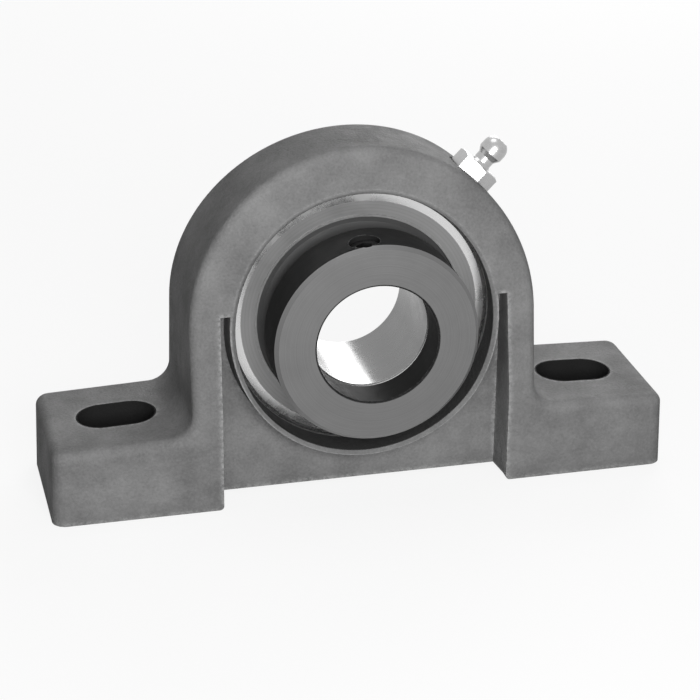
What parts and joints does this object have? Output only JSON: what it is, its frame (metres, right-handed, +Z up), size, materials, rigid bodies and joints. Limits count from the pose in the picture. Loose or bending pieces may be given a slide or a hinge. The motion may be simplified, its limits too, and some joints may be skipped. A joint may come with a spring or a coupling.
{
  "type": "pillow block bearing",
  "caption": "Cast pillow block with two slotted feet, a self-aligning ball bearing insert, an eccentric locking collar and a grease fitting.",
  "frame": {"origin": "middle of the base, on the surface that the feet are bolted to", "axes": "+X along the base to the right seen from the collar side, +Y away from the collar along the shaft, +Z up"},
  "size_m": [0.1668, 0.0497, 0.0938],
  "materials": {
    "cast_iron": "as cast, fine sand texture, thin grey coat",
    "ground_steel": "ground and honed",
    "ball_steel": "polished",
    "pressed_steel": "pressed sheet, satin",
    "seal_steel": "stamped and plated sheet",
    "seal_rubber": "matt black nitrile",
    "turned_steel": "turned, dark oxide, satin",
    "black_steel": "black oxide",
    "plated_steel": "bright zinc plate",
    "spring_steel": "drawn wire"
  },
  "bodies": {
    "housing": {"housing": "cast_iron", "grease_fitting": "plated_steel", "grease_spring": "spring_steel"},
    "align_pin": {"lock_pin": "ground_steel"},
    "outer_race": {"outer_ring": "ground_steel", "front_seal_cap": "seal_steel", "front_seal_lip": "seal_rubber", "front_seal_backing": "seal_steel", "rear_seal_cap": "seal_steel", "rear_seal_lip": "seal_rubber", "rear_seal_backing": "seal_steel"},
    "inner_race": {"inner_ring": "ground_steel"},
    "collar": {"locking_collar": "turned_steel"},
    "set_screw": {"collar_set_screw": "black_steel"},
    "cage": {"cage_front": "pressed_steel", "cage_rear": "pressed_steel", "cage_rivets": "pressed_steel"},
    "check_ball": {"grease_check_ball": "ball_steel"},
    "ball_1": {"ball_1": "ball_steel"},
    "ball_2": {"ball_2": "ball_steel"},
    "ball_3": {"ball_3": "ball_steel"},
    "ball_4": {"ball_4": "ball_steel"},
    "ball_5": {"ball_5": "ball_steel"},
    "ball_6": {"ball_6": "ball_steel"},
    "ball_7": {"ball_7": "ball_steel"},
    "ball_8": {"ball_8": "ball_steel"},
    "ball_9": {"ball_9": "ball_steel"}
  },
  "joints": [
    {"name": "align_yaw", "type": "hinge", "parent": "housing", "child": "align_pin", "pos_m": [0, 0, 0.0476], "axis": [0, 0, 1], "range_deg": [-2, 2]},
    {"name": "align_pitch", "type": "hinge", "parent": "align_pin", "child": "outer_race", "pos_m": [0, 0, 0.0476], "axis": [1, 0, 0], "range_deg": [-2, 2]},
    {"name": "shaft_spin", "type": "hinge", "parent": "outer_race", "child": "inner_race", "pos_m": [0, 0, 0.0476], "axis": [0, 1, 0], "continuous": true},
    {"name": "collar_lock", "type": "hinge", "parent": "inner_race", "child": "collar", "pos_m": [0, 0, 0.0476], "axis": [0, 1, 0], "range_deg": [-25, 25]},
    {"name": "set_screw_travel", "type": "slide", "parent": "collar", "child": "set_screw", "axis": [-0.1045, 0, 0.9945], "range_m": [-0.0015, 0.002]},
    {"name": "cage_orbit", "type": "hinge", "parent": "outer_race", "child": "cage", "pos_m": [0, 0, 0.0476], "axis": [0, 1, 0], "continuous": true},
    {"name": "check_ball_lift", "type": "slide", "parent": "housing", "child": "check_ball", "axis": [0.6947, 0, 0.7193], "range_m": [-0.001, 0], "stiffness_N_per_m": 300, "springref_m": 0.001, "deforming": ["grease_spring"]},
    {"name": "ball_1_spin", "type": "hinge", "parent": "cage", "child": "ball_1", "pos_m": [0, 0, 0.07435], "axis": [0, 1, 0], "continuous": true},
    {"name": "ball_2_spin", "type": "hinge", "parent": "cage", "child": "ball_2", "pos_m": [-0.01719, 0, 0.06809], "axis": [0, 1, 0], "continuous": true},
    {"name": "ball_3_spin", "type": "hinge", "parent": "cage", "child": "ball_3", "pos_m": [-0.02634, 0, 0.05224], "axis": [0, 1, 0], "continuous": true},
    {"name": "ball_4_spin", "type": "hinge", "parent": "cage", "child": "ball_4", "pos_m": [-0.02317, 0, 0.03422], "axis": [0, 1, 0], "continuous": true},
    {"name": "ball_5_spin", "type": "hinge", "parent": "cage", "child": "ball_5", "pos_m": [-0.00915, 0, 0.02246], "axis": [0, 1, 0], "continuous": true},
    {"name": "ball_6_spin", "type": "hinge", "parent": "cage", "child": "ball_6", "pos_m": [0.00915, 0, 0.02246], "axis": [0, 1, 0], "continuous": true},
    {"name": "ball_7_spin", "type": "hinge", "parent": "cage", "child": "ball_7", "pos_m": [0.02317, 0, 0.03422], "axis": [0, 1, 0], "continuous": true},
    {"name": "ball_8_spin", "type": "hinge", "parent": "cage", "child": "ball_8", "pos_m": [0.02634, 0, 0.05224], "axis": [0, 1, 0], "continuous": true},
    {"name": "ball_9_spin", "type": "hinge", "parent": "cage", "child": "ball_9", "pos_m": [0.01719, 0, 0.06809], "axis": [0, 1, 0], "continuous": true}
  ],
  "couplings": [
    {"joint": "cage_orbit", "follows": "shaft_spin", "ratio": 0.39615},
    {"joint": "ball_1_spin", "follows": "shaft_spin", "ratio": -2.3035},
    {"joint": "ball_2_spin", "follows": "shaft_spin", "ratio": -2.3035},
    {"joint": "ball_3_spin", "follows": "shaft_spin", "ratio": -2.3035},
    {"joint": "ball_4_spin", "follows": "shaft_spin", "ratio": -2.3035},
    {"joint": "ball_5_spin", "follows": "shaft_spin", "ratio": -2.3035},
    {"joint": "ball_6_spin", "follows": "shaft_spin", "ratio": -2.3035},
    {"joint": "ball_7_spin", "follows": "shaft_spin", "ratio": -2.3035},
    {"joint": "ball_8_spin", "follows": "shaft_spin", "ratio": -2.3035},
    {"joint": "ball_9_spin", "follows": "shaft_spin", "ratio": -2.3035}
  ]
}
